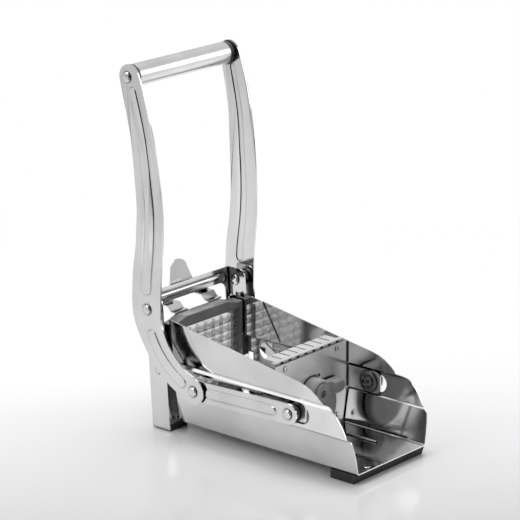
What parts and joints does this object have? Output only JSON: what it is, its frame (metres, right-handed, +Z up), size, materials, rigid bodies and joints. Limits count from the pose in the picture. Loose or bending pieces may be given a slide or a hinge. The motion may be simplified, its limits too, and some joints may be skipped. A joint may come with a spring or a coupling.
{
  "type": "lever potato slicer",
  "caption": "Lever potato slicer: a folded steel trough with a fixed cutting grid, a pusher that slides in side slots, and a U-shaped handle that draws it through two links.",
  "frame": {"origin": "centre of the whole object's box in plan, on the surface that the feet stand on", "axes": "+X towards the open front of the trough, +Z up, and Y across, with the left side as seen from the open front at -Y"},
  "size_m": [0.2584, 0.1386, 0.3387],
  "materials": {
    "polished_steel": "mirror-polished stainless sheet",
    "satin_steel": "satin stainless tube",
    "blade_steel": "ground stainless strip",
    "dark_plastic": "satin dark moulding",
    "grey_plastic": "satin mid-grey moulding",
    "foot_rubber": "plain black rubber"
  },
  "bodies": {
    "frame": {"trough": "polished_steel", "rear_frame": "polished_steel", "front_foot": "foot_rubber", "left_rear_foot": "foot_rubber", "right_rear_foot": "foot_rubber", "latch_pin": "polished_steel", "cutter_frame": "dark_plastic", "left_foot_rivet": "polished_steel", "upright_blade_1": "blade_steel", "upright_blade_2": "blade_steel", "upright_blade_3": "blade_steel", "upright_blade_4": "blade_steel", "upright_blade_5": "blade_steel", "upright_blade_6": "blade_steel", "upright_blade_7": "blade_steel", "level_blade_1": "blade_steel", "level_blade_2": "blade_steel", "level_blade_3": "blade_steel", "level_blade_4": "blade_steel", "level_blade_5": "blade_steel", "level_blade_6": "blade_steel", "level_blade_7": "blade_steel", "left_lower_frame_rivet": "polished_steel", "right_lower_frame_rivet": "polished_steel", "left_upper_frame_rivet": "polished_steel", "right_upper_frame_rivet": "polished_steel", "left_pivot_rivet": "polished_steel", "right_pivot_rivet": "polished_steel", "left_pivot_spacer": "polished_steel", "right_pivot_spacer": "polished_steel"},
    "handle": {"left_arm": "polished_steel", "right_arm": "polished_steel", "grip_tube": "satin_steel", "grip_rod": "polished_steel", "left_grip_cap": "dark_plastic", "right_grip_cap": "dark_plastic", "left_crank_rivet": "polished_steel", "right_crank_rivet": "polished_steel", "left_crank_washer": "polished_steel", "right_crank_washer": "polished_steel"},
    "left_link": {"left_link": "polished_steel", "left_link_stud": "polished_steel"},
    "right_link": {"right_link": "polished_steel", "right_link_stud": "polished_steel"},
    "carriage": {"carriage_plate": "polished_steel", "pusher_block": "grey_plastic", "left_slide_bush": "dark_plastic", "right_slide_bush": "dark_plastic", "left_carriage_rivet": "polished_steel", "right_carriage_rivet": "polished_steel", "left_block_peg": "polished_steel", "right_block_peg": "polished_steel", "left_low_peg": "polished_steel", "right_low_peg": "polished_steel"},
    "knob": {"knob": "grey_plastic", "knob_screw": "polished_steel"},
    "latch": {"latch_leaf": "polished_steel"}
  },
  "joints": [
    {"name": "handle_hinge", "type": "hinge", "parent": "frame", "child": "handle", "pos_m": [-0.101, 0, 0.115], "axis": [0, 1, 0], "range_deg": [0, 80]},
    {"name": "left_link_hinge", "type": "hinge", "parent": "handle", "child": "left_link", "pos_m": [-0.0465, 0, 0.0492], "axis": [0, -1, 0], "range_deg": [0, 79.7]},
    {"name": "right_link_hinge", "type": "hinge", "parent": "handle", "child": "right_link", "pos_m": [-0.0465, 0, 0.0492], "axis": [0, -1, 0], "range_deg": [0, 79.7]},
    {"name": "carriage_slide", "type": "slide", "parent": "frame", "child": "carriage", "axis": [-1, 0, 0], "range_m": [0, 0.1099]},
    {"name": "knob_turn", "type": "hinge", "parent": "carriage", "child": "knob", "pos_m": [0.037, 0, 0.052], "axis": [1, 0, 0], "range_deg": [-90, 90]},
    {"name": "latch_hinge", "type": "hinge", "parent": "frame", "child": "latch", "pos_m": [-0.1156, 0, 0.1187], "axis": [0, -1, 0], "range_deg": [0, 10]}
  ],
  "couplings": [
    {"joint": "left_link_hinge", "follows": "handle_hinge", "ratio": 0.99535},
    {"joint": "right_link_hinge", "follows": "handle_hinge", "ratio": 0.99535},
    {"joint": "carriage_slide", "follows": "handle_hinge", "m_per_rad": 0.07865}
  ]
}
